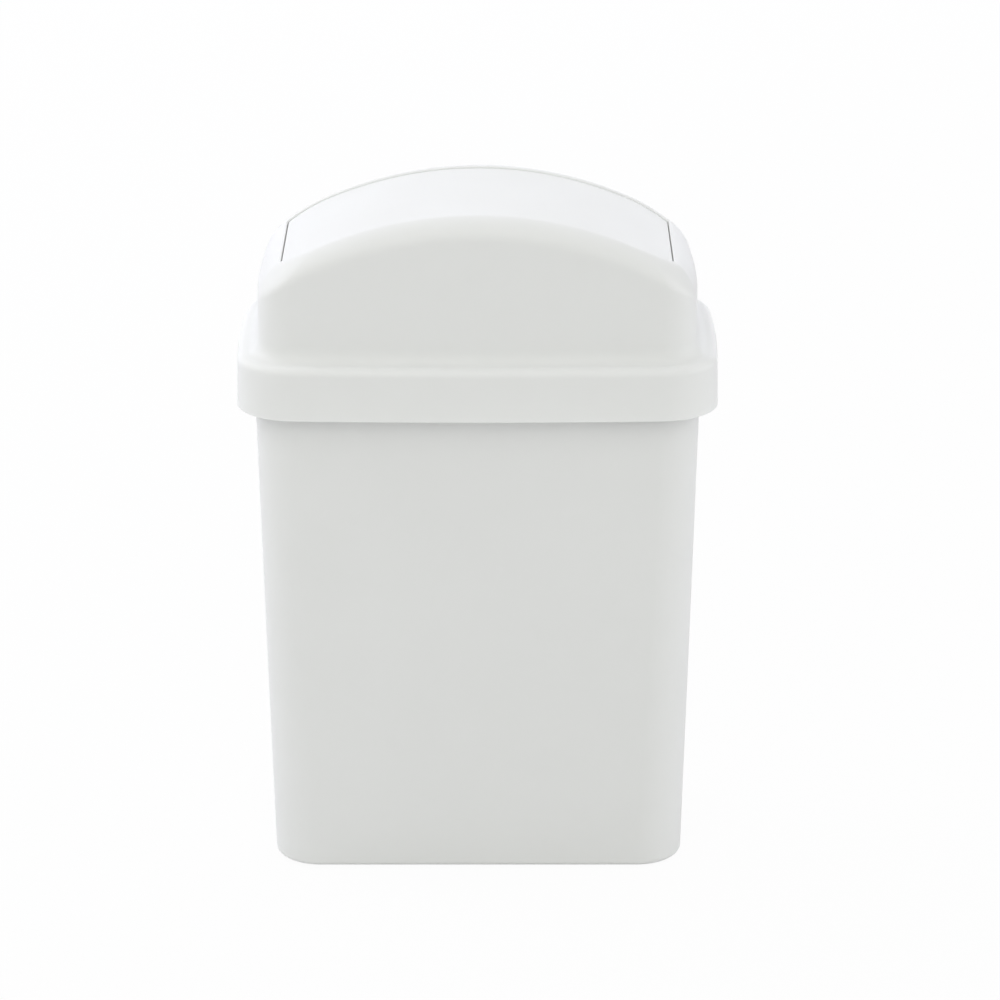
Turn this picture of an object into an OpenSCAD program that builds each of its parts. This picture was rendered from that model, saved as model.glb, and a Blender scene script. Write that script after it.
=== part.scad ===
// Countertop trash can with a swing lid: a drafted bucket, a lift-off hood with an arched roof,
// and a curved flap that swings on two stub pins. Millimetres, +Z up, +X along the wide side,
// origin on the surface that the bucket stands on, under its middle.

/* [Bucket] */
// Width of the bucket at its foot
base_w = 158.2; // [146:0.2:170]
// Depth of the bucket at its foot
base_d = 79.4; // [74:0.2:96]
// Height of the bucket, from the surface that it stands on to the top of its rim
bucket_h = 205.7; // [150:0.1:260]
// Lean of the bucket's walls from the vertical, in degrees
draft_angle = 1.6; // [0.5:0.01:2.4]
// Thickness of the bucket's walls and floor
bucket_wall = 1.6; // [1.2:0.1:2.2]
// Radius of the bucket's upright corners at its foot
foot_corner_r = 17.8; // [14:0.2:24]
// Radius of the bucket's upright corners at its rim
rim_corner_r = 13.6; // [12:0.2:20]
// How far the bucket's long sides bulge at the rim, where they are flat at the foot
side_bow = 2.5; // [0:0.1:3]
// How far the bucket's short sides bulge at the rim, where they are flat at the foot
end_bow = 2.5; // [0:0.1:4]
// How far the rim stands out from the bucket's wall
rim_w = 3.1; // [2.6:0.1:5]
// Height of the rim's turned-down edge
rim_edge_h = 5.5; // [3:0.1:9]
// Radius of the rounding along the bucket's bottom edge, outside
bottom_edge_r = 2; // [1:0.1:3]
// Radius of the rounding between the wall and the floor, inside
floor_fillet_r = 5; // [3:0.5:8]
// Height of the foot ring under the floor
foot_h = 0.8; // [0.5:0.1:1.5]
// Width of the foot ring
foot_w = 2.6; // [2:0.1:4]
// Distance of the foot ring from the bucket's outer edge
foot_inset = 3.2; // [2:0.1:4]
// Radius of the moulding gate's spot in the middle of the underside
gate_r = 4; // [2:0.5:6]

/* [Lid] */
// Thickness of the lid's walls
lid_wall = 1.6; // [1.2:0.1:2]
// Clearance between the bucket's rim and the inside of the lid's skirt
skirt_clearance = 1; // [1:0.1:2]
// Clearance between the top of the bucket's rim and the ledge that rests on it
seat_clearance = 0.1; // [0.05:0.05:0.3]
// Height of the skirt, from its lower edge to the top of the ledge
skirt_h = 20.2; // [14:0.1:26]
// How far the skirt flares outwards at its lower edge
skirt_flare = 0.5; // [0:0.1:1]
// Width of the ledge, from the skirt's outer face to the hood's wall
ledge_w = 7.4; // [6.4:0.1:9]
// Radius of the rounding along the ledge's outer edge
ledge_edge_r = 2.9; // [1.8:0.1:3.4]
// Width of the hollow where the hood's wall rises from the ledge
ledge_hollow_w = 4.4; // [1.5:0.1:4.4]
// Height of that hollow
ledge_hollow_h = 6.4; // [1.5:0.1:8]
// Height of the crown of the arched roof above the ledge
crown_h = 54.8; // [52:0.1:75]
// Radius of the roof's arch
arch_r = 144; // [132:0.5:200]
// Lean of the hood's walls from the vertical, in degrees
hood_draft_angle = 0.8; // [0:0.1:4]
// Height of the rounded shoulder between the hood's wall and its roof
shoulder_h = 8; // [6:0.1:9]
// Width of the roof between the front wall and the flap's opening, at the crown
front_strip_w = 10.2; // [10:0.1:13]
// Width of the roof between the side wall and the flap's opening
side_strip_w = 9.5; // [8.2:0.1:10]
// Width of the plain arched margin between the shoulder and the opening
margin_w = 1; // [1:0.1:5]
// Radius to which the opening's long sides curve in towards its ends
opening_r = 24.5; // [18:0.5:26]
// Distance from the opening's ends at which its long sides start to curve in
opening_run = 16.2; // [10:0.1:17]
// Height of the lip turned down around the opening
lip_h = 3.6; // [3:0.1:3.8]
// Radius of the rounding along the opening's upper edge
lip_edge_r = 0.8; // [0.2:0.1:0.8]
// Number of guide ribs inside the skirt along each long side
long_ribs = 3; // [1:1:5]
// Distance between guide ribs along the long sides
long_rib_pitch = 42; // [20:1:42]
// Width of a guide rib
rib_w = 1.5; // [1:0.1:3]
// Distance from the skirt's lower edge to the start of the guide ribs
rib_lead = 4; // [1:0.5:8]
// Clearance between a guide rib and the bucket's rim
rib_clearance = 0.4; // [0.3:0.05:0.7]

/* [Flap] */
// Thickness of the flap's panel and of its edge
flap_wall = 1.6; // [1.2:0.1:2]
// Gap between the flap's straight ends and the opening
end_gap = 0.5; // [0.4:0.1:2]
// Gap between the flap's curved sides and the opening
side_gap = 0.5; // [0.4:0.1:1]
// How far the flap's surface lies below the roof around it
flap_sink = 0.6; // [0:0.1:0.8]
// Height of the edge turned down around the flap
flap_edge_h = 4.4; // [3.6:0.1:5]
// Depth of the pivot axis below the crown
pivot_drop = 6; // [5.6:0.1:7]
// Radius of each stub pin
pin_r = 2; // [1.6:0.1:2.4]
// Running clearance between a stub pin and its bore, on the radius
pin_clearance = 0.1; // [0.05:0.01:0.15]
// How far each stub pin reaches past its bearing plate
pin_reach = 1; // [0.6:0.1:1.5]
// Radius of the ear that carries each stub pin
ear_r = 5; // [4.2:0.1:5.5]

/* [Bearings] */
// Thickness of the bearing plate that hangs under the roof at each end of the pivot
bearing_t = 2.4; // [2:0.1:3]
// Width of each bearing plate
bearing_w = 18; // [14:0.5:24]
// Distance from the pivot axis down to the stop under each bearing
stop_drop = 8.5; // [7:0.1:10]
// Width of each stop
stop_w = 4; // [3:0.1:4.4]
// Height of each stop
stop_h = 4; // [3:0.5:6]
// Thickness of the two gussets behind each bearing plate
gusset_t = 1.4; // [1:0.1:2]

/* [Hidden] */
plastic = [0.93, 0.94, 0.93];
$fn = 96;
overlap = 0.4; // how deep one solid of a piece sinks into the next
tall = 400; // longer than anything here
end_steps = 3; // points from the middle of a short side to its corner
corner_steps = 10; // points round a corner
side_steps = 9; // points from a corner to the middle of a long side

// Half sizes seen from above, [half width, half depth], and the levels that the pieces share.
base_half = [base_w, base_d] / 2;
rim_grow = bucket_h * tan(draft_angle);
lid_inner_grow = rim_w + skirt_clearance;
skirt_half = base_half + [1, 1] * (rim_grow + lid_inner_grow + lid_wall);
skirt_r = rim_corner_r + lid_inner_grow + lid_wall;
rim_bow = [end_bow, side_bow];
ledge_z = bucket_h + seat_clearance + lid_wall;
crown_z = ledge_z + crown_h;
hood_lean = (crown_h - shoulder_h) * tan(hood_draft_angle);
roof_grow = -ledge_w - hood_lean;
opening_end = skirt_half[0] + roof_grow - side_strip_w;
opening_side = skirt_half[1] + roof_grow - front_strip_w;
pivot_z = crown_z - pivot_drop;
flap_r = arch_r - flap_sink;

function mix(a, b, t) = a + (b - a) * t;
function lift(points, z) = [for (p = points) [p[0], p[1], z]];

// Height of the roof's outer surface at x.
function arch_z(x) = crown_z - arch_r + sqrt(arch_r * arch_r - x * x);

// Closed outline from its first quarter, which runs from the +X axis to the +Y axis.
function whole(quarter) =
    let (n = len(quarter))
    concat(
        quarter,
        [for (i = [n - 2 : -1 : 0]) [-quarter[i][0], quarter[i][1]]],
        [for (i = [1 : n - 1]) -quarter[i]],
        [for (i = [n - 2 : -1 : 1]) [quarter[i][0], -quarter[i][1]]]
    );

// Rounded rectangle whose short sides bulge by bow[0] and whose long sides bulge by bow[1].
function outline(half, r, bow) =
    let (
        centre = half - [r, r],
        quarter = concat(
            [for (i = [0 : end_steps - 1]) [half[0], centre[1] * i / end_steps]],
            [for (i = [0 : corner_steps]) let (t = 90 * i / corner_steps) centre + r * [cos(t), sin(t)]],
            [for (i = [1 : side_steps]) [centre[0] * (1 - i / side_steps), half[1]]]
        )
    )
    whole([for (p = quarter)
        let (x = p[0] / half[0], y = p[1] / half[1])
        [p[0] - bow[0] * x * y * y, p[1] - bow[1] * y * x * x]]);

// The flap's opening, grown by g at its straight ends and by s along its curved long sides.
function opening(g, s) =
    let (
        end = opening_end + g,
        start = opening_end - opening_run,
        centre_y = opening_side - opening_r,
        r = opening_r + s,
        first = acos((end - start) / r),
        corner_y = centre_y + r * sin(first)
    )
    whole(concat(
        [for (i = [0 : end_steps - 1]) [end, corner_y * i / end_steps]],
        [for (i = [0 : corner_steps])
            let (t = mix(first, 90, i / corner_steps))
            [start + r * cos(t), centre_y + r * sin(t)]],
        [for (i = [1 : side_steps]) [start * (1 - i / side_steps), opening_side + s]]
    ));

// Outline of the bucket at height z, grown by g from its outer wall.
function bucket_outline(z, g) =
    let (up = z / bucket_h)
    outline(
        base_half + [1, 1] * (g + z * tan(draft_angle)),
        mix(foot_corner_r, rim_corner_r, up) + g,
        rim_bow * up
    );
function bucket_ring(z, g) = lift(bucket_outline(z, g), z);

// Outline of the lid, grown by g from the outside of its skirt.
function lid_outline(g) = outline(skirt_half + [g, g], skirt_r + g, rim_bow);
function lid_ring(z, g) = lift(lid_outline(g), z);

// Closed surface through a list of rings. Without caps the last ring joins the first.
module loft(rings, caps) {
    n = len(rings[0]);
    m = len(rings);
    points = [for (ring = rings) each ring];
    sides = [
        for (j = [0 : caps ? m - 2 : m - 1], i = [0 : n - 1])
            let (
                k = (j + 1) % m,
                a = j * n + i,
                b = j * n + (i + 1) % n,
                c = k * n + (i + 1) % n,
                d = k * n + i
            )
            each [[a, d, c], [a, c, b]]
    ];
    bottom = [for (i = [0 : n - 1]) i];
    top = [for (i = [n - 1 : -1 : 0]) (m - 1) * n + i];
    polyhedron(points = points, faces = caps ? concat(sides, [bottom, top]) : sides);
}

// The bucket's shell: up the outside, over the rim and down the inside to the floor.
module bucket_shell() {
    floor_z = foot_h + bucket_wall;
    under_rim_z = bucket_h - bucket_wall;
    rim_r = bucket_wall / 2;
    loft(concat(
        [for (t = [0 : 30 : 90])
            bucket_ring(foot_h + bottom_edge_r * (1 - cos(t)), -bottom_edge_r * (1 - sin(t)))],
        [
            bucket_ring(under_rim_z, 0),
            bucket_ring(under_rim_z, rim_w - bucket_wall),
            bucket_ring(bucket_h - rim_edge_h, rim_w - bucket_wall),
            bucket_ring(bucket_h - rim_edge_h, rim_w),
        ],
        [for (t = [0 : 30 : 90])
            bucket_ring(under_rim_z + bucket_wall * sin(t), rim_w - bucket_wall * (1 - cos(t)))],
        [for (t = [90 : -45 : 0])
            bucket_ring(bucket_h - rim_r * (1 - sin(t)), -bucket_wall + rim_r * (1 - cos(t)))],
        [for (t = [0 : 22.5 : 90])
            bucket_ring(
                floor_z + floor_fillet_r * (1 - sin(t)),
                -bucket_wall - floor_fillet_r * (1 - cos(t))
            )]
    ), true);
}

// Ring that the bucket stands on, just inside the edge of its floor.
module foot_ring() {
    linear_extrude(foot_h + overlap)
        difference() {
            polygon(bucket_outline(0, -foot_inset));
            polygon(bucket_outline(0, -foot_inset - foot_w));
        }
}

module bucket() {
    color(plastic) {
        bucket_shell();
        foot_ring();
        translate([0, 0, foot_h / 2])
            cylinder(r = gate_r, h = foot_h / 2 + overlap);
    }
}

// One ring of the hood's shoulder, from the top of its wall at t = 0 to the margin's edge at 90.
// The outer surface has inset 0, and the inner one the lid's thickness. The wall leans evenly
// with its height, so the top of the wall lies between its outlines at the ledge and the crown.
function shoulder_ring(t, inset) =
    let (
        low = lid_outline(-ledge_w - inset),
        high = lid_outline(roof_grow - inset),
        edge = opening(margin_w, margin_w)
    )
    [for (i = [0 : len(low) - 1])
        let (
            up = (arch_z(high[i][0]) - shoulder_h - ledge_z) / (crown_h - shoulder_h),
            wall = mix(low[i], high[i], up),
            at = mix(wall, edge[i], 1 - cos(t))
        )
        [at[0], at[1], mix(arch_z(wall[0]) - shoulder_h, arch_z(at[0]) - inset, sin(t))]];

// One ring of the lip around the opening, set back by g and lowered by drop.
function lip_ring(g, drop) = [for (p = opening(g, g)) [p[0], p[1], arch_z(p[0]) - drop]];

// The lid's shell: up the outside to the opening, around its lip and down the inside.
module lid_shell() {
    low_z = ledge_z - skirt_h;
    under_z = ledge_z - lid_wall;
    hollow = ledge_w - ledge_hollow_w;
    loft(concat(
        [lid_ring(low_z, skirt_flare)],
        [for (t = [0 : 22.5 : 90])
            lid_ring(ledge_z - ledge_edge_r * (1 - sin(t)), -ledge_edge_r * (1 - cos(t)))],
        [for (t = [0 : 22.5 : 90])
            lid_ring(ledge_z + ledge_hollow_h * (1 - cos(t)), -hollow - ledge_hollow_w * sin(t))],
        [for (t = [0 : 15 : 90]) shoulder_ring(t, 0)],
        [lip_ring(lip_edge_r, 0), lip_ring(0, lip_edge_r), lip_ring(0, lip_h)],
        [lip_ring(lid_wall, lip_h), lip_ring(lid_wall, lid_wall)],
        [for (t = [72 : -18 : 0]) shoulder_ring(t, lid_wall)],
        [
            lid_ring(under_z, -ledge_w - lid_wall),
            lid_ring(under_z, -lid_wall),
            lid_ring(low_z, skirt_flare - lid_wall),
        ]
    ), false);
}

// Places its children at the front and at the back.
module both_ends() {
    children();
    mirror([0, 1, 0])
        children();
}

// Plate with the stop for the flap and two gussets, behind the lip at one end of the pivot.
module bearing_plate() {
    low_z = pivot_z - stop_drop - stop_h;
    behind = opening_side + bearing_t - overlap;
    hood_inside = skirt_half[1] + roof_grow - lid_wall + overlap;
    gusset_low = pivot_z - pin_r - ear_r / 2;
    stop_face = opening_side - side_gap - flap_wall / 2;
    translate([-bearing_w / 2, opening_side, low_z])
        cube([bearing_w, bearing_t, crown_z - lid_wall + overlap - low_z]);
    translate([-stop_w / 2, stop_face, low_z])
        cube([stop_w, opening_side + overlap - stop_face, stop_h]);
    for (x = [-bearing_w / 2, bearing_w / 2 - gusset_t])
        translate([x, behind, gusset_low])
            cube([gusset_t, hood_inside - behind, crown_z - shoulder_h + overlap - gusset_low]);
}

// Ribs inside the skirt that keep the lid central on the bucket's rim.
module guide_ribs() {
    proud = skirt_clearance - rib_clearance;
    inside = skirt_half - [1, 1] * lid_wall;
    rib_h = skirt_h - lid_wall - rib_lead;
    rib_z = ledge_z - lid_wall - rib_h;
    for (i = [0 : long_ribs - 1]) {
        x = (i - (long_ribs - 1) / 2) * long_rib_pitch;
        bulge = side_bow * pow(x / inside[0], 2);
        both_ends()
            translate([x - rib_w / 2, inside[1] - bulge - proud, rib_z])
                cube([rib_w, proud + overlap, rib_h + overlap]);
    }
    for (side = [0, 180])
        rotate([0, 0, side])
            translate([inside[0] - proud, -rib_w / 2, rib_z])
                cube([proud + overlap, rib_w, rib_h + overlap]);
}

module lid_hood() {
    color(plastic)
        difference() {
            union() {
                lid_shell();
                guide_ribs();
                both_ends()
                    bearing_plate();
            }
            both_ends()
                translate([0, opening_side - overlap, pivot_z])
                    rotate([-90, 0, 0])
                        cylinder(r = pin_r + pin_clearance, h = bearing_t + 2 * overlap);
        }
}

// Solid cylinder of radius r about the axis of the roof's arch.
module arch_cylinder(r) {
    translate([0, tall / 2, crown_z - arch_r])
        rotate([90, 0, 0])
            cylinder(r = r, h = tall);
}

// Space below the flap's surface, inside its outline and within its swing about the pivot: the
// flap's outer form at inset 0, and the hollow under its panel at the panel's thickness.
module flap_form(inset) {
    tip_x = opening_end - end_gap;
    tip_z = crown_z - arch_r + sqrt(flap_r * flap_r - tip_x * tip_x);
    swing_r = norm([tip_x, tip_z - pivot_z]);
    intersection() {
        translate([0, 0, pivot_z - tall / 4])
            linear_extrude(tall / 2)
                polygon(opening(-end_gap - inset, -side_gap - inset));
        arch_cylinder(flap_r - inset);
        translate([0, tall / 2, pivot_z])
            rotate([90, 0, 0])
                cylinder(r = swing_r - inset, h = tall);
    }
}

// Ear below the flap's edge with the stub pin that it carries.
module pivot_ear() {
    pin_l = side_gap + bearing_t + pin_reach;
    taper = pin_r / 4;
    translate([0, opening_side - side_gap, pivot_z])
        rotate([90, 0, 0]) {
            cylinder(r = ear_r, h = flap_wall);
            translate([-ear_r, 0, 0])
                cube([2 * ear_r, pivot_drop - flap_sink - flap_wall / 2, flap_wall]);
            translate([0, 0, taper - pin_l])
                cylinder(r = pin_r, h = pin_l - taper + flap_wall / 2);
            translate([0, 0, -pin_l])
                cylinder(r1 = pin_r - taper, r2 = pin_r, h = taper);
        }
}

module swing_flap() {
    color(plastic) {
        difference() {
            flap_form(0);
            arch_cylinder(flap_r - flap_edge_h);
            flap_form(flap_wall);
        }
        both_ends()
            pivot_ear();
    }
}

bucket();
lid_hood();
swing_flap();
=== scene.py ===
import math

import bmesh
import bpy
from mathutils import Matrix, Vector


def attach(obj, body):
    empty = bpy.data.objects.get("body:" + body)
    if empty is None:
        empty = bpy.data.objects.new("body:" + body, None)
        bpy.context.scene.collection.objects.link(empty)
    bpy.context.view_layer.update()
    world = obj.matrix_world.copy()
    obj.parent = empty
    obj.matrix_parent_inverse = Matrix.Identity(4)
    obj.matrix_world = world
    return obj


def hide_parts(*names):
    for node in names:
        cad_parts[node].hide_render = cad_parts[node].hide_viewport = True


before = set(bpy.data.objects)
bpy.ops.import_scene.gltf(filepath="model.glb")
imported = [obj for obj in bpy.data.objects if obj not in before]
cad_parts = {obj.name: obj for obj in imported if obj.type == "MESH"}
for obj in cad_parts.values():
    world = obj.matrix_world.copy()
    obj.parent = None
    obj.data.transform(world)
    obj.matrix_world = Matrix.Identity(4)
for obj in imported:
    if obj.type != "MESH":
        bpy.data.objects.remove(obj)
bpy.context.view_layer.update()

# Sizes in millimetres, in the frame's own axes: +Z up, +X along the wide side, -Y to the front.
MM = 0.001

# Bucket
BASE_HALF = (79.1, 39.7)
BUCKET_H = 205.7
DRAFT = math.tan(math.radians(1.6))
BUCKET_WALL = 1.6
FOOT_CORNER_R = 17.8
RIM_CORNER_R = 13.6
RIM_BOW = (2.5, 2.5)
RIM_W = 3.1
RIM_EDGE_H = 5.5
BOTTOM_EDGE_R = 2.0
FLOOR_FILLET_R = 5.0
FOOT_H = 0.8
FOOT_W = 2.6
FOOT_INSET = 3.2
GATE_R = 4.0

# Lid
LID_WALL = 1.6
SKIRT_CLEARANCE = 1.0
SEAT_CLEARANCE = 0.1
SKIRT_H = 20.2
SKIRT_FLARE = 0.5
LEDGE_W = 7.4
LEDGE_EDGE_R = 2.9
LEDGE_HOLLOW_W = 4.4
LEDGE_HOLLOW_H = 6.4
CROWN_H = 54.8
ARCH_R = 144.0
HOOD_DRAFT = math.tan(math.radians(0.8))
SHOULDER_H = 8.0
FRONT_STRIP_W = 10.2
SIDE_STRIP_W = 9.5
MARGIN_W = 1.0
OPENING_R = 24.5
OPENING_RUN = 16.2
LIP_H = 3.6
LIP_EDGE_R = 0.8
LONG_RIBS = 3
LONG_RIB_PITCH = 42.0
RIB_W = 1.5
RIB_LEAD = 4.0
RIB_CLEARANCE = 0.4

# Flap and its bearings
FLAP_WALL = 1.6
SIDE_GAP = 0.5
# The drawn panel stands closer to the lid than the moulded SIDE_GAP, so that its slits look light.
PANEL_GAP = 0.2
FLAP_SINK = 0.6
FLAP_EDGE_H = 4.4
FLAP_EDGE_R = 0.5
PIVOT_DROP = 6.0
PIN_R = 2.0
PIN_CLEARANCE = 0.1
PIN_REACH = 1.0
EAR_R = 5.0
BEARING_T = 2.4
BEARING_W = 18.0
STOP_DROP = 8.5
STOP_W = 4.0
STOP_H = 4.0
GUSSET_T = 1.4

# How far fused pieces reach into each other, and how much their sharp edges are softened
EMBED = 0.4
EDGE_BEVEL = 0.25
EAR_BEVEL = 0.2
PIN_BEVEL = 0.5
LIP_BEVEL = 0.3

# Worked out from those above
RIM_GROW = BUCKET_H * DRAFT
LID_GROW = RIM_GROW + RIM_W + SKIRT_CLEARANCE + LID_WALL
SKIRT_HALF = (BASE_HALF[0] + LID_GROW, BASE_HALF[1] + LID_GROW)
SKIRT_R = RIM_CORNER_R + RIM_W + SKIRT_CLEARANCE + LID_WALL
LEDGE_Z = BUCKET_H + SEAT_CLEARANCE + LID_WALL
CROWN_Z = LEDGE_Z + CROWN_H
WALL_TOP_Z = CROWN_Z - SHOULDER_H
ROOF_GROW = -LEDGE_W - (WALL_TOP_Z - LEDGE_Z) * HOOD_DRAFT
OPENING_END = SKIRT_HALF[0] + ROOF_GROW - SIDE_STRIP_W
OPENING_SIDE = SKIRT_HALF[1] + ROOF_GROW - FRONT_STRIP_W
PIVOT_Z = CROWN_Z - PIVOT_DROP

# How finely the surfaces are drawn: numbers of steps, degrees, and lengths in millimetres
END_STEPS = 10
CORNER_STEPS = 20
SIDE_STEPS = 30
FILLET_STEPS = 6
HOLLOW_STEPS = 12
WALL_STEPS = 6
ROUND_STEPS = 64
ARC_STEPS = 48
SHOULDER_STEP = 5
INNER_SHOULDER_STEP = 6
INNER_SHOULDER_TOP = 78
LONG_RUN = 2.0
LONGEST_STEP = 14.0
NEAR_END = 0.6

# How far the flat rings round each grid of quads reach in
UNDER_FLOOR_RING = 8.0
FLOOR_RING = 5.0
FLAP_TOP_RING = 1.5
FLAP_UNDER_RING = 2.0
INNER_WALL_RING = 2.0


# ---------------------------------------------------------------- outlines seen from above


def mix(a, b, t):
    return a + (b - a) * t


def whole(quarter):
    """Closed outline from its first quarter, which runs from the +X axis to the +Y axis."""
    n = len(quarter)
    return (
        list(quarter)
        + [(-quarter[i][0], quarter[i][1]) for i in range(n - 2, -1, -1)]
        + [(-quarter[i][0], -quarter[i][1]) for i in range(1, n)]
        + [(quarter[i][0], -quarter[i][1]) for i in range(n - 2, 0, -1)]
    )


def outline(half, r, bow):
    """Rounded rectangle whose short sides bulge by bow[0] and whose long sides by bow[1]."""
    cx, cy = half[0] - r, half[1] - r
    quarter = [(half[0], cy * i / END_STEPS) for i in range(END_STEPS)]
    for i in range(CORNER_STEPS + 1):
        t = math.pi / 2 * i / CORNER_STEPS
        quarter.append((cx + r * math.cos(t), cy + r * math.sin(t)))
    quarter += [(cx * (1 - i / SIDE_STEPS), half[1]) for i in range(1, SIDE_STEPS + 1)]
    bowed = []
    for x, y in quarter:
        u, v = x / half[0], y / half[1]
        bowed.append((x - bow[0] * u * v * v, y - bow[1] * v * u * u))
    return whole(bowed)


def opening(g, s):
    """The flap's opening, grown by g at its straight ends and by s along its curved long sides."""
    end = OPENING_END + g
    start = OPENING_END - OPENING_RUN
    cy = OPENING_SIDE - OPENING_R
    r = OPENING_R + s
    first = math.acos((end - start) / r)
    corner_y = cy + r * math.sin(first)
    quarter = [(end, corner_y * i / END_STEPS) for i in range(END_STEPS)]
    for i in range(CORNER_STEPS + 1):
        t = mix(first, math.pi / 2, i / CORNER_STEPS)
        quarter.append((start + r * math.cos(t), cy + r * math.sin(t)))
    quarter += [
        (start * (1 - i / SIDE_STEPS), OPENING_SIDE + s)
        for i in range(1, SIDE_STEPS + 1)
    ]
    return whole(quarter)


def bucket_ring(g, z):
    up = z / BUCKET_H
    grow = g + z * DRAFT
    half = (BASE_HALF[0] + grow, BASE_HALF[1] + grow)
    r = mix(FOOT_CORNER_R, RIM_CORNER_R, up) + g
    return [(x, y, z) for x, y in outline(half, r, (RIM_BOW[0] * up, RIM_BOW[1] * up))]


def lid_outline(g):
    return outline((SKIRT_HALF[0] + g, SKIRT_HALF[1] + g), SKIRT_R + g, RIM_BOW)


def lid_ring(g, z):
    return [(x, y, z) for x, y in lid_outline(g)]


def arch_z(x, inset=0.0):
    """Height of the roof's outer surface at x, or of one that lies inset below it."""
    r = ARCH_R - inset
    return CROWN_Z - ARCH_R + math.sqrt(r * r - x * x)


# ---------------------------------------------------------------- meshes


def rounded(path):
    """Profile of (g, z) points from corners (g, z, radius), each corner rounded by an arc."""
    out = []
    for i, (g, z, r) in enumerate(path):
        here = Vector((g, z))
        if r <= 0 or i in (0, len(path) - 1):
            out.append(here)
            continue
        back = (Vector(path[i - 1][:2]) - here).normalized()
        on = (Vector(path[i + 1][:2]) - here).normalized()
        half_angle = back.angle(on) / 2
        reach = r / math.tan(half_angle)
        middle = here + (back + on).normalized() * (r / math.sin(half_angle))
        start, end = here + back * reach - middle, here + on * reach - middle
        turn = start.angle_signed(end)
        for k in range(FILLET_STEPS + 1):
            a = -turn * k / FILLET_STEPS
            x = start.x * math.cos(a) - start.y * math.sin(a)
            y = start.x * math.sin(a) + start.y * math.cos(a)
            out.append(middle + Vector((x, y)))
    return [tuple(p) for p in out]


def spread(path):
    """The same profile with points added along its long straight runs, and close to their ends."""
    out = [path[0]]
    for a, b in zip(path, path[1:]):
        length = math.dist(a, b)
        if length > LONG_RUN:
            near = NEAR_END / length
            inner = max(1, round(length / LONGEST_STEP))
            shares = [near] + [i / inner for i in range(1, inner)] + [1 - near]
            out += [(mix(a[0], b[0], t), mix(a[1], b[1], t)) for t in shares]
        out.append(b)
    return out


def add_rings(bm, rings, closed=False):
    """Joins a list of rings by quads and returns the rings' vertices."""
    rows = [[bm.verts.new(p) for p in ring] for ring in rings]
    pairs = list(zip(rows, rows[1:]))
    if closed:
        pairs.append((rows[-1], rows[0]))
    for low, high in pairs:
        n = len(low)
        for i in range(n):
            k = (i + 1) % n
            bm.faces.new((low[i], low[k], high[k], high[i]))
    return rows


def cap_grid(bm, ring, height, up):
    """Fills an outline's ring with rows of quads across its depth; height(x) gives the level."""
    n = len(ring)
    half_way = n // 2
    rows = 2 * END_STEPS
    ends = [(ring[k], ring[n - k]) for k in range(END_STEPS, half_way - END_STEPS + 1)]
    grid = []
    for c, (top, bottom) in enumerate(ends):
        if c == 0:
            column = [ring[(n - END_STEPS + j) % n] for j in range(rows + 1)]
        elif c == len(ends) - 1:
            column = [ring[half_way + END_STEPS - j] for j in range(rows + 1)]
        else:
            column = [bottom]
            for j in range(1, rows):
                p = bottom.co.lerp(top.co, j / rows)
                column.append(bm.verts.new((p.x, p.y, height(p.x))))
            column.append(top)
        grid.append(column)
    for a, b in zip(grid, grid[1:]):
        for j in range(rows):
            face = (a[j], a[j + 1], b[j + 1], b[j])
            bm.faces.new(face if up else face[::-1])


def circle(r, steps):
    """Points of a circle round the origin."""
    turns = [2 * math.pi * i / steps for i in range(steps)]
    return [(r * math.cos(a), r * math.sin(a)) for a in turns]


def box(bm, low, high):
    """A block between two corners."""
    x0, y0, z0 = low
    x1, y1, z1 = high
    v = [
        bm.verts.new((x, y, z))
        for z in (z0, z1)
        for x, y in ((x0, y0), (x1, y0), (x1, y1), (x0, y1))
    ]
    for f in ((3, 2, 1, 0), (4, 5, 6, 7), (0, 1, 5, 4), (1, 2, 6, 5), (2, 3, 7, 6), (3, 0, 4, 7)):
        bm.faces.new([v[i] for i in f])


def mirrored_front(bm):
    """Adds a copy of everything in the mesh, mirrored from the back to the front."""
    geom = bm.verts[:] + bm.edges[:] + bm.faces[:]
    copy = bmesh.ops.duplicate(bm, geom=geom)["geom"]
    for v in (g for g in copy if isinstance(g, bmesh.types.BMVert)):
        v.co.y = -v.co.y
    bmesh.ops.reverse_faces(bm, faces=[g for g in copy if isinstance(g, bmesh.types.BMFace)])


def finish_piece(bm, name, body, material, bevel=0.0, replaces=None):
    """Turns the mesh, in millimetres, into a smooth piece in metres that rides on a body."""
    bmesh.ops.scale(bm, vec=(MM, MM, MM), verts=bm.verts)
    bmesh.ops.recalc_face_normals(bm, faces=bm.faces)
    mesh = bpy.data.meshes.new(name)
    bm.to_mesh(mesh)
    bm.free()
    mesh.polygons.foreach_set("use_smooth", [True] * len(mesh.polygons))
    piece = bpy.data.objects.new(name, mesh)
    bpy.context.scene.collection.objects.link(piece)
    piece.data.materials.append(material)
    if bevel:
        edge = piece.modifiers.new("edges", "BEVEL")
        edge.width = bevel * MM
        edge.segments = 3
        edge.limit_method = "ANGLE"
        edge.harden_normals = False
    weighted = piece.modifiers.new("normals", "WEIGHTED_NORMAL")
    weighted.keep_sharp = True
    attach(piece, body)
    if replaces:
        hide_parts(replaces)


# ---------------------------------------------------------------- materials


def link(tree, a, b):
    tree.links.new(a, b)


def noise(tree, scale, detail, roughness, coordinates):
    node = tree.nodes.new("ShaderNodeTexNoise")
    node.inputs["Scale"].default_value = scale
    node.inputs["Detail"].default_value = detail
    node.inputs["Roughness"].default_value = roughness
    link(tree, coordinates, node.inputs["Vector"])
    return node.outputs["Fac"]


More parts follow.
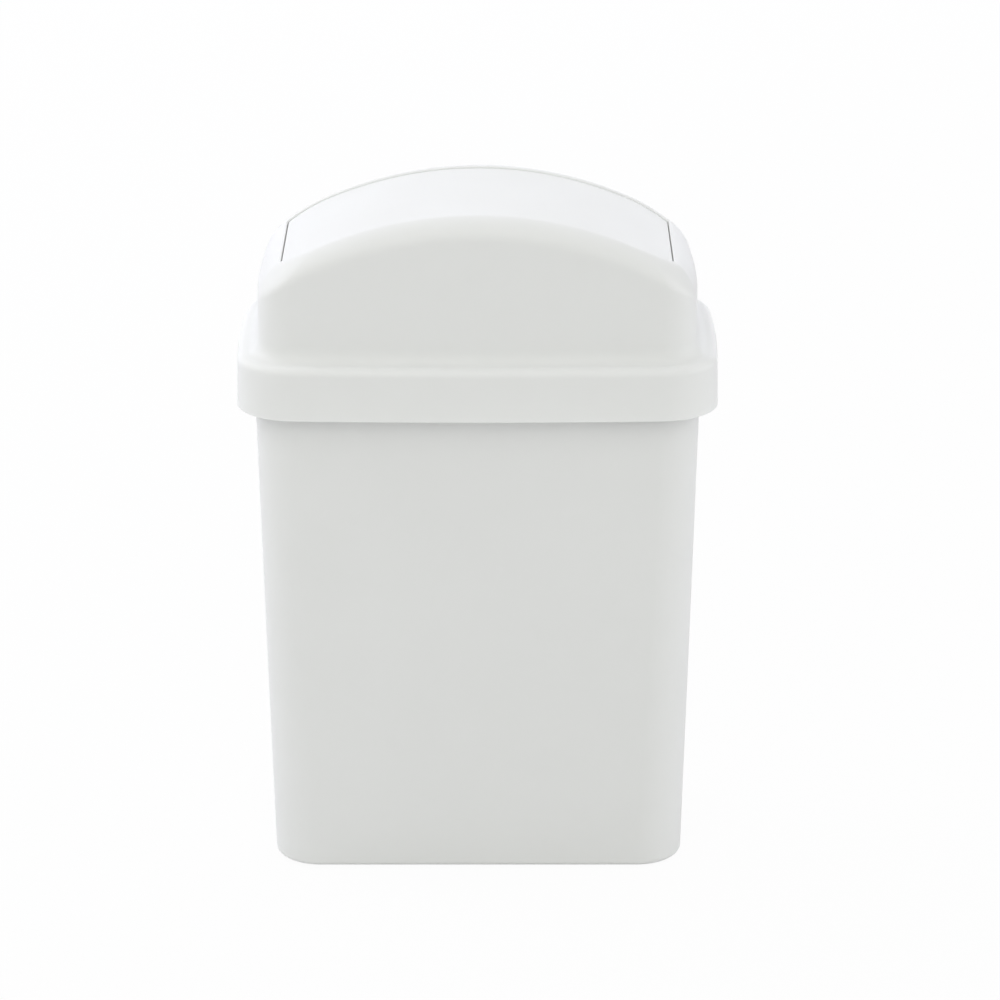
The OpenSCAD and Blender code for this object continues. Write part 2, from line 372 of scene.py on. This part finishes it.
def map_range(tree, value, low, high):
    """Takes the middle part of a noise's values to the range from low to high."""
    node = tree.nodes.new("ShaderNodeMapRange")
    node.inputs["From Min"].default_value = 0.3
    node.inputs["From Max"].default_value = 0.7
    node.inputs["To Min"].default_value = low
    node.inputs["To Max"].default_value = high
    link(tree, value, node.inputs["Value"])
    return node.outputs["Result"]


def ramp(tree, value, colours):
    """Turns a noise's value into a colour between two."""
    node = tree.nodes.new("ShaderNodeMix")
    node.data_type = "RGBA"
    link(tree, map_range(tree, value, 0.0, 1.0), node.inputs["Factor"])
    node.inputs["A"].default_value = (*colours[0], 1)
    node.inputs["B"].default_value = (*colours[1], 1)
    return node.outputs["Result"]


def bump(tree, height, strength, distance):
    node = tree.nodes.new("ShaderNodeBump")
    node.inputs["Strength"].default_value = strength
    node.inputs["Distance"].default_value = distance
    link(tree, height, node.inputs["Height"])
    return node


# The bin's plastic: its clouding, its grain and its waviness, with heights in metres
PLASTIC_COLOUR = (0.855, 0.865, 0.85)
PLASTIC_ROUGHNESS = 0.40
PLASTIC_IOR = 1.49
CLOUD_SHADE = 0.985
CLOUD_SCALE = 18.0
HANDLING_SCALE = 45.0
GRAIN_SCALE = 2600.0
GRAIN_HEIGHT = 0.00004
WAVE_SCALE = 22.0
WAVE_HEIGHT = 0.0004
# How much light passes under the surface, and how far it goes, in metres
TRANSLUCENCY = 0.8
TRANSLUCENT_REACH = 0.0015


def white_plastic(name):
    """Satin white polypropylene: an even moulded skin with a fine grain and a faint waviness."""
    material = bpy.data.materials.new(name)
    material.use_nodes = True
    tree = material.node_tree
    shader = tree.nodes["Principled BSDF"]
    place = tree.nodes.new("ShaderNodeTexCoord").outputs["Object"]
    cloud = noise(tree, CLOUD_SCALE, 3.0, 0.55, place)
    darker = tuple(c * CLOUD_SHADE for c in PLASTIC_COLOUR)
    link(tree, ramp(tree, cloud, (darker, PLASTIC_COLOUR)), shader.inputs["Base Color"])
    handling = noise(tree, HANDLING_SCALE, 6.0, 0.6, place)
    rough = map_range(tree, handling, PLASTIC_ROUGHNESS - 0.04, PLASTIC_ROUGHNESS + 0.05)
    link(tree, rough, shader.inputs["Roughness"])
    shader.inputs["IOR"].default_value = PLASTIC_IOR
    shader.inputs["Subsurface Weight"].default_value = TRANSLUCENCY
    shader.inputs["Subsurface Radius"].default_value = (1.0, 1.0, 1.0)
    shader.inputs["Subsurface Scale"].default_value = TRANSLUCENT_REACH
    grain = bump(tree, noise(tree, GRAIN_SCALE, 2.0, 0.5, place), 0.12, GRAIN_HEIGHT)
    wave = bump(tree, noise(tree, WAVE_SCALE, 1.0, 0.4, place), 0.25, WAVE_HEIGHT)
    link(tree, grain.outputs["Normal"], wave.inputs["Normal"])
    link(tree, wave.outputs["Normal"], shader.inputs["Normal"])
    return material


# ---------------------------------------------------------------- pieces


def make_bucket(material):
    under_rim_z = BUCKET_H - BUCKET_WALL
    floor_z = FOOT_H + BUCKET_WALL
    inner_foot = -FOOT_INSET - FOOT_W
    path = rounded(
        [
            (inner_foot - UNDER_FLOOR_RING, FOOT_H, 0),
            (inner_foot, FOOT_H, 0.2),
            (inner_foot, 0, 0.3),
            (-FOOT_INSET, 0, 0.3),
            (-FOOT_INSET, FOOT_H, 0.2),
            (0, FOOT_H, BOTTOM_EDGE_R),
            (0, under_rim_z, 0.5),
            (RIM_W - BUCKET_WALL, under_rim_z, 0.6),
            (RIM_W - BUCKET_WALL, BUCKET_H - RIM_EDGE_H, 0.3),
            (RIM_W, BUCKET_H - RIM_EDGE_H, 0.5),
            (RIM_W, BUCKET_H, BUCKET_WALL),
            (-BUCKET_WALL, BUCKET_H, 0.8),
            (-BUCKET_WALL, floor_z, FLOOR_FILLET_R),
            (-BUCKET_WALL - FLOOR_FILLET_R - FLOOR_RING, floor_z, 0),
        ]
    )
    bm = bmesh.new()
    rows = add_rings(bm, [bucket_ring(g, z) for g, z in spread(path)])
    cap_grid(bm, rows[0], lambda x: FOOT_H, up=False)
    cap_grid(bm, rows[-1], lambda x: floor_z, up=True)
    finish_piece(bm, "bin_bucket", "bucket", material, replaces="bucket")


def make_gate(material):
    """The small disc left by the moulding gate under the floor."""
    profile = (
        (GATE_R, FOOT_H + 0.3),
        (GATE_R, FOOT_H / 2 + 0.1),
        (GATE_R - 0.1, FOOT_H / 2),
    )
    bm = bmesh.new()
    rows = add_rings(bm, [[(x, y, z) for x, y in circle(r, ARC_STEPS)] for r, z in profile])
    bm.faces.new(rows[0])
    bm.faces.new(rows[-1])
    finish_piece(bm, "bucket_gate_spot", "bucket", material)


def shoulder_ring(t, inset):
    """A ring of the hood's shoulder, from the top of its wall at 0 to the margin's edge at 90."""
    low = lid_outline(-LEDGE_W - inset)
    high = lid_outline(ROOF_GROW - inset)
    edge = opening(MARGIN_W, MARGIN_W)
    a = math.radians(t)
    ring = []
    for b, c, e in zip(low, high, edge):
        up = (arch_z(c[0]) - SHOULDER_H - LEDGE_Z) / (CROWN_H - SHOULDER_H)
        wall_x, wall_y = mix(b[0], c[0], up), mix(b[1], c[1], up)
        foot_z = arch_z(wall_x) - SHOULDER_H
        x = mix(wall_x, e[0], 1 - math.cos(a))
        y = mix(wall_y, e[1], 1 - math.cos(a))
        ring.append((x, y, mix(foot_z, arch_z(x) - inset, math.sin(a))))
    return ring


def lip_ring(g, drop):
    return [(x, y, arch_z(x) - drop) for x, y in opening(g, g)]


def between(a, b, steps):
    """Rings between two others, without those two."""
    return [
        [tuple(mix(p[k], q[k], i / steps) for k in range(3)) for p, q in zip(a, b)]
        for i in range(1, steps)
    ]


def make_hood(material):
    low_z = LEDGE_Z - SKIRT_H
    under_z = LEDGE_Z - LID_WALL
    outside = rounded(
        [
            (SKIRT_FLARE - LID_WALL / 2, low_z, 0),
            (SKIRT_FLARE, low_z, 0.5),
            (0, LEDGE_Z, LEDGE_EDGE_R),
            (-LEDGE_W + LEDGE_HOLLOW_W, LEDGE_Z, 0),
        ]
    )
    for i in range(1, HOLLOW_STEPS + 1):
        a = math.pi / 2 * i / HOLLOW_STEPS
        g = -LEDGE_W + LEDGE_HOLLOW_W * (1 - math.sin(a))
        outside.append((g, LEDGE_Z + LEDGE_HOLLOW_H * (1 - math.cos(a))))
    inside = rounded(
        [
            (-LEDGE_W - LID_WALL, under_z + INNER_WALL_RING, 0),
            (-LEDGE_W - LID_WALL, under_z, 1.0),
            (-LID_WALL, under_z, 1.0),
            (SKIRT_FLARE - LID_WALL, low_z, 0.4),
            (SKIRT_FLARE - LID_WALL / 2, low_z, 0),
        ]
    )
    rings = [lid_ring(g, z) for g, z in spread(outside)]
    rings += between(rings[-1], shoulder_ring(0, 0), WALL_STEPS)
    rings += [shoulder_ring(t, 0) for t in range(0, 91, SHOULDER_STEP)]
    rings.append(lip_ring((LIP_EDGE_R + MARGIN_W) / 2, 0))
    for i in range(FILLET_STEPS + 1):
        a = math.pi / 2 * i / FILLET_STEPS
        rings.append(lip_ring(LIP_EDGE_R * (1 - math.sin(a)), LIP_EDGE_R * (1 - math.cos(a))))
    under_lip = (
        (0, LIP_H / 2),
        (0, LIP_H - LIP_BEVEL),
        (LIP_BEVEL, LIP_H),
        (LID_WALL - LIP_BEVEL, LIP_H),
        (LID_WALL, LIP_H - LIP_BEVEL),
        (LID_WALL, LID_WALL + LIP_BEVEL),
        (LID_WALL + LIP_BEVEL, LID_WALL),
    )
    rings += [lip_ring(g, drop) for g, drop in under_lip]
    # The inside of the shoulder stays clear of the lip.
    inner_turns = range(INNER_SHOULDER_TOP, -1, -INNER_SHOULDER_STEP)
    rings += [shoulder_ring(t, LID_WALL) for t in inner_turns]
    inner = [lid_ring(g, z) for g, z in spread(inside)]
    rings += between(rings[-1], inner[0], WALL_STEPS) + inner[:-1]
    bm = bmesh.new()
    add_rings(bm, rings, closed=True)
    finish_piece(bm, "lid_hood_shell", "lid", material, replaces="lid_hood")


def stub_pin(bm, y0, y1):
    """A round pin along the pivot's axis with softened ends."""
    profile = (
        (PIN_R - PIN_BEVEL, y0),
        (PIN_R, y0 + PIN_BEVEL),
        (PIN_R, y1 - PIN_BEVEL),
        (PIN_R - PIN_BEVEL, y1),
    )
    rings = [[(u, y, PIVOT_Z + v) for u, v in circle(r, ROUND_STEPS)] for r, y in profile]
    rows = add_rings(bm, rings)
    bm.faces.new(rows[0])
    bm.faces.new(rows[-1])


def bearing_plate(bm, low_z, high_z, y0, y1):
    """A rectangular plate across X with the pin's bore, as one closed ring of quads."""
    half_w = BEARING_W / 2
    bore_r = PIN_R + PIN_CLEARANCE
    outer, inner = [], []
    for i in range(ROUND_STEPS):
        a = 2 * math.pi * (i + 0.5) / ROUND_STEPS
        dx, dz = math.cos(a), math.sin(a)
        limit_x = half_w / abs(dx)
        limit_z = ((high_z if dz > 0 else low_z) - PIVOT_Z) / dz
        reach = min(limit_x, limit_z)
        outer.append((dx * reach, PIVOT_Z + dz * reach))
        inner.append((dx * bore_r, PIVOT_Z + dz * bore_r))
    for corner in ((x, z) for x in (-half_w, half_w) for z in (low_z, high_z)):
        nearest = min(range(ROUND_STEPS), key=lambda i: math.dist(outer[i], corner))
        outer[nearest] = corner
    loops = ((outer, y0), (outer, y1), (inner, y1), (inner, y0))
    add_rings(bm, [[(x, y, z) for x, z in loop] for loop, y in loops], closed=True)


def make_bearings(material):
    """The two plates that hold the flap's pins, each with its stop and gussets."""
    low_z = PIVOT_Z - STOP_DROP - STOP_H
    top_z = CROWN_Z - LID_WALL + EMBED
    behind = OPENING_SIDE + BEARING_T - EMBED / 2
    hood_inside = SKIRT_HALF[1] + ROOF_GROW - LID_WALL + EMBED
    stop_face = OPENING_SIDE - SIDE_GAP - FLAP_WALL / 2
    bm = bmesh.new()
    bearing_plate(bm, low_z, top_z, OPENING_SIDE, OPENING_SIDE + BEARING_T)
    box(bm, (-STOP_W / 2, stop_face, low_z), (STOP_W / 2, OPENING_SIDE + EMBED, low_z + STOP_H))
    gusset_low = PIVOT_Z - PIN_R - EAR_R / 2
    for x in (-BEARING_W / 2, BEARING_W / 2 - GUSSET_T):
        box(bm, (x, behind, gusset_low), (x + GUSSET_T, hood_inside, WALL_TOP_Z + EMBED))
    mirrored_front(bm)
    finish_piece(bm, "lid_bearing_plates", "lid", material, bevel=EDGE_BEVEL)


def make_ribs(material):
    """Guide ribs inside the skirt."""
    proud = SKIRT_CLEARANCE - RIB_CLEARANCE
    inside = (SKIRT_HALF[0] - LID_WALL, SKIRT_HALF[1] - LID_WALL)
    rib_h = SKIRT_H - LID_WALL - RIB_LEAD
    rib_z = LEDGE_Z - LID_WALL - rib_h
    rib_top = rib_z + rib_h + EMBED
    bm = bmesh.new()
    for i in range(LONG_RIBS):
        x = (i - (LONG_RIBS - 1) / 2) * LONG_RIB_PITCH
        y = inside[1] - RIM_BOW[1] * (x / inside[0]) ** 2
        box(bm, (x - RIB_W / 2, y - proud, rib_z), (x + RIB_W / 2, y + EMBED, rib_top))
    mirrored_front(bm)
    for side in (-1, 1):
        low, high = sorted((side * (inside[0] - proud), side * (inside[0] + EMBED)))
        box(bm, (low, -RIB_W / 2, rib_z), (high, RIB_W / 2, rib_top))
    finish_piece(bm, "lid_guide_ribs", "lid", material, bevel=EDGE_BEVEL)


def flap_z(x, depth=0.0):
    """Height of the flap's surface at x, or of one that lies depth below it."""
    return arch_z(x, FLAP_SINK + depth)


def flap_ring(d, depth):
    """The flap's outline drawn in by d, at a depth below its surface, kept within its swing."""
    tip = OPENING_END - PANEL_GAP
    swing_r = math.hypot(tip, flap_z(tip) - PIVOT_Z) - d
    ring = []
    for x, y in opening(-PANEL_GAP - d, -PANEL_GAP - d):
        z = flap_z(x, depth)
        limit = math.sqrt(swing_r * swing_r - (z - PIVOT_Z) ** 2)
        if abs(x) > limit:
            x = math.copysign(limit, x)
            z = flap_z(x, depth)
        ring.append((x, y, z))
    return ring


def make_flap(material):
    path = rounded(
        [
            (FLAP_EDGE_R + FLAP_TOP_RING, 0, 0),
            (0, 0, FLAP_EDGE_R),
            (0, FLAP_EDGE_H, 0.4),
            (FLAP_WALL, FLAP_EDGE_H, 0.4),
            (FLAP_WALL, FLAP_WALL, 0.8),
            (FLAP_WALL + FLAP_UNDER_RING, FLAP_WALL, 0),
        ]
    )
    bm = bmesh.new()
    rows = add_rings(bm, [flap_ring(d, depth) for d, depth in spread(path)])
    cap_grid(bm, rows[0], flap_z, up=True)
    cap_grid(bm, rows[-1], lambda x: flap_z(x, FLAP_WALL), up=False)
    finish_piece(bm, "flap_panel", "flap", material, replaces="swing_flap")


def make_ears(material):
    """The two ears under the flap's edge, each with its stub pin."""
    face = OPENING_SIDE - SIDE_GAP
    pin_end = face + SIDE_GAP + BEARING_T + PIN_REACH
    top = PIVOT_DROP - FLAP_SINK - FLAP_WALL / 2
    ear = []
    for i in range(ARC_STEPS + 1):
        a = math.pi + math.pi * i / ARC_STEPS
        ear.append((EAR_R * math.cos(a), PIVOT_Z + EAR_R * math.sin(a)))
    ear += [(EAR_R, PIVOT_Z + top), (-EAR_R, PIVOT_Z + top)]
    bm = bmesh.new()
    rows = add_rings(bm, [[(x, y, z) for x, z in ear] for y in (face - FLAP_WALL, face)])
    bm.faces.new(rows[0])
    bm.faces.new(rows[-1])
    stub_pin(bm, face - FLAP_WALL / 2, pin_end)
    mirrored_front(bm)
    finish_piece(bm, "flap_ears_and_pins", "flap", material, bevel=EAR_BEVEL)


# ---------------------------------------------------------------- stage

# Half the floor's side in metres, its grey, and how much of it the camera sees as plain white
FLOOR_HALF = 3.0
FLOOR_GREY = 0.82
FLOOR_WHITE_SHARE = 0.95


def make_stage():
    """A plain pale floor that keeps the bin's soft shadow."""
    bm = bmesh.new()
    signs = ((-1, -1), (1, -1), (1, 1), (-1, 1))
    bm.faces.new([bm.verts.new((x * FLOOR_HALF, y * FLOOR_HALF, 0)) for x, y in signs])
    mesh = bpy.data.meshes.new("floor")
    bm.to_mesh(mesh)
    bm.free()
    floor = bpy.data.objects.new("floor", mesh)
    bpy.context.scene.collection.objects.link(floor)
    material = bpy.data.materials.new("floor_white")
    material.use_nodes = True
    tree = material.node_tree
    shader = tree.nodes["Principled BSDF"]
    shader.inputs["Base Color"].default_value = (FLOOR_GREY, FLOOR_GREY, FLOOR_GREY, 1)
    shader.inputs["Roughness"].default_value = 0.9
    shader.inputs["Specular IOR Level"].default_value = 0.1
    glow = tree.nodes.new("ShaderNodeEmission")
    glow.inputs["Color"].default_value = (1, 1, 1, 1)
    glow.inputs["Strength"].default_value = 1.0
    ray = tree.nodes.new("ShaderNodeLightPath")
    share = tree.nodes.new("ShaderNodeMath")
    share.operation = "MULTIPLY"
    share.inputs[1].default_value = FLOOR_WHITE_SHARE
    link(tree, ray.outputs["Is Camera Ray"], share.inputs[0])
    both = tree.nodes.new("ShaderNodeMixShader")
    link(tree, share.outputs[0], both.inputs["Fac"])
    link(tree, shader.outputs["BSDF"], both.inputs[1])
    link(tree, glow.outputs["Emission"], both.inputs[2])
    link(tree, both.outputs["Shader"], tree.nodes["Material Output"].inputs["Surface"])
    floor.data.materials.append(material)


# The world's light on the bin, where the camera sees white
WORLD_LEVEL = 0.571


def make_world():
    world = bpy.data.worlds.new("studio")
    bpy.context.scene.world = world
    world.use_nodes = True
    tree = world.node_tree
    back = tree.nodes["Background"]
    back.inputs["Color"].default_value = (1, 1, 1, 1)
    ray = tree.nodes.new("ShaderNodeLightPath")
    seen = tree.nodes.new("ShaderNodeMath")
    seen.operation = "MAXIMUM"
    link(tree, ray.outputs["Is Camera Ray"], seen.inputs[0])
    link(tree, ray.outputs["Is Transmission Ray"], seen.inputs[1])
    level = tree.nodes.new("ShaderNodeMapRange")
    level.inputs["To Min"].default_value = WORLD_LEVEL
    level.inputs["To Max"].default_value = 1.0
    link(tree, seen.outputs[0], level.inputs["Value"])
    link(tree, level.outputs["Result"], back.inputs["Strength"])


# Faint tints of the lamps: daylight from above and behind, room light in front
COOL = (0.99, 1.0, 1.15)
NEUTRAL = (1.0, 1.0, 1.04)
WARM = (1.0, 1.0, 0.94)

# Name, place and size in metres, power in watts, tint
LAMPS = (
    ("top_soft", (0.0, 0.0, 1.6), (1.6, 1.6), 1.95, NEUTRAL),
    ("top_back_soft", (-0.1, 1.0, 1.3), (1.6, 1.0), 1.2, COOL),
    ("left_top_soft", (-1.2, 0.3, 1.1), (1.2, 1.2), 5.5, NEUTRAL),
    ("left_back_soft", (-1.2, 0.9, 0.5), (1.0, 1.2), 3.05, COOL),
    ("behind_soft", (0.0, 1.6, 0.5), (2.0, 1.0), 4.8, COOL),
    ("right_soft", (1.5, 0.0, 0.45), (1.0, 1.2), 5.05, NEUTRAL),
    ("front_soft", (0.0, -2.2, 0.5), (2.0, 1.4), 2.2, WARM),
    ("front_top_soft", (-0.2, -1.3, 1.5), (1.6, 1.2), 6.25, WARM),
)
LAMP_AIM = Vector((0, 0, 0.15))


def make_lights():
    """Soft lamps that face the middle of the bin."""
    for name, place, size, power, tint in LAMPS:
        data = bpy.data.lights.new(name, "AREA")
        data.shape = "RECTANGLE"
        data.size, data.size_y = size
        data.energy = power
        data.color = tint
        lamp = bpy.data.objects.new(name, data)
        lamp.location = place
        lamp.rotation_euler = (LAMP_AIM - Vector(place)).to_track_quat("-Z", "Y").to_euler()
        bpy.context.scene.collection.objects.link(lamp)


# The photograph's view: a long lens in front of the bin, its place in millimetres, which looks
# down by CAMERA_TILT degrees
CAMERA_PLACE = (8.436, -1450.0, 670.85)
CAMERA_TILT = 20.179
FOCAL_PX = 3997.22
PHOTO_PX = 1000.0
SENSOR_MM = 36.0


def make_camera():
    data = bpy.data.cameras.new("camera")
    data.sensor_width = SENSOR_MM
    data.lens = FOCAL_PX / PHOTO_PX * SENSOR_MM
    data.clip_start = 0.05
    data.clip_end = 20
    camera = bpy.data.objects.new("camera", data)
    camera.location = Vector(CAMERA_PLACE) * MM
    camera.rotation_euler = (math.radians(90 - CAMERA_TILT), 0, 0)
    bpy.context.scene.collection.objects.link(camera)
    bpy.context.scene.camera = camera


make_camera()
make_stage()
make_world()
make_lights()
plastic = white_plastic("white_plastic")
make_bucket(plastic)
make_gate(plastic)
make_hood(plastic)
make_bearings(plastic)
make_ribs(plastic)
make_flap(plastic)
make_ears(plastic)

bpy.context.scene.view_settings.view_transform = "Standard"
